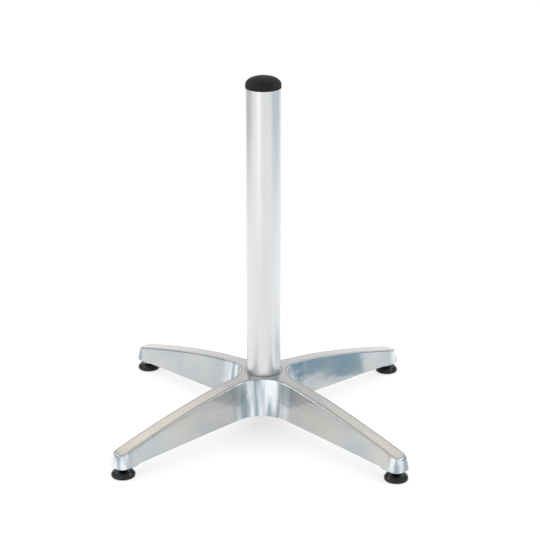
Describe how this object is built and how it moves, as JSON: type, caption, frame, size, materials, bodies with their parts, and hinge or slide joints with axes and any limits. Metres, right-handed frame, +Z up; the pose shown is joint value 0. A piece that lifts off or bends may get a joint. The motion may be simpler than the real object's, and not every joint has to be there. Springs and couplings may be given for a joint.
{
  "type": "pedestal base",
  "caption": "Free-standing pedestal base: cast aluminium X of tapering arms, round column with a black crowned cap, and black levelling feet that screw up and down.",
  "frame": {"origin": "on the floor, on the column's axis: the centre of the square of feet", "axes": "+Z up along the column; the arms lie on the diagonals of X and Y; -Y is the side that the picture shows, seen between the two front arms"},
  "size_m": [0.5812, 0.5812, 0.7372],
  "materials": {
    "casting": "polished",
    "tube": "polished, fine lengthwise brushing",
    "cap": "moulded matt",
    "steel": "zinc plated",
    "stud": "black zinc",
    "insert": "turned",
    "foot": "semi-gloss",
    "sole": "moulded matt"
  },
  "bodies": {
    "base": {"base_casting": "casting", "column_tube": "tube", "column_cap": "cap", "anchor_disc": "steel", "tie_rod": "steel", "top_washer": "steel", "top_spring_washer": "steel", "top_nut": "steel", "bottom_washer": "steel", "bottom_spring_washer": "steel", "bottom_nut": "steel", "foot_1_insert": "insert", "foot_2_insert": "insert", "foot_3_insert": "insert", "foot_4_insert": "insert"},
    "foot_1": {"foot_1_pad": "foot", "foot_1_sole": "sole"},
    "foot_1_stud": {"foot_1_stud": "stud"},
    "foot_2": {"foot_2_pad": "foot", "foot_2_sole": "sole"},
    "foot_2_stud": {"foot_2_stud": "stud"},
    "foot_3": {"foot_3_pad": "foot", "foot_3_sole": "sole"},
    "foot_3_stud": {"foot_3_stud": "stud"},
    "foot_4": {"foot_4_pad": "foot", "foot_4_sole": "sole"},
    "foot_4_stud": {"foot_4_stud": "stud"}
  },
  "joints": [
    {"name": "foot_1_height", "type": "slide", "parent": "base", "child": "foot_1", "axis": [0, 0, 1], "range_m": [-0.01, 0.0055]},
    {"name": "foot_1_turn", "type": "hinge", "parent": "foot_1", "child": "foot_1_stud", "pos_m": [-0.26658, -0.26658, 0.02], "axis": [0, 0, 1], "range_deg": [-2401, 1321]},
    {"name": "foot_2_height", "type": "slide", "parent": "base", "child": "foot_2", "axis": [0, 0, 1], "range_m": [-0.01, 0.0055]},
    {"name": "foot_2_turn", "type": "hinge", "parent": "foot_2", "child": "foot_2_stud", "pos_m": [0.26658, -0.26658, 0.02], "axis": [0, 0, 1], "range_deg": [-2401, 1321]},
    {"name": "foot_3_height", "type": "slide", "parent": "base", "child": "foot_3", "axis": [0, 0, 1], "range_m": [-0.01, 0.0055]},
    {"name": "foot_3_turn", "type": "hinge", "parent": "foot_3", "child": "foot_3_stud", "pos_m": [0.26658, 0.26658, 0.02], "axis": [0, 0, 1], "range_deg": [-2401, 1321]},
    {"name": "foot_4_height", "type": "slide", "parent": "base", "child": "foot_4", "axis": [0, 0, 1], "range_m": [-0.01, 0.0055]},
    {"name": "foot_4_turn", "type": "hinge", "parent": "foot_4", "child": "foot_4_stud", "pos_m": [-0.26658, 0.26658, 0.02], "axis": [0, 0, 1], "range_deg": [-2401, 1321]}
  ],
  "couplings": [
    {"joint": "foot_1_turn", "follows": "foot_1_height", "rad_per_m": 4188.8},
    {"joint": "foot_2_turn", "follows": "foot_2_height", "rad_per_m": 4188.8},
    {"joint": "foot_3_turn", "follows": "foot_3_height", "rad_per_m": 4188.8},
    {"joint": "foot_4_turn", "follows": "foot_4_height", "rad_per_m": 4188.8}
  ]
}
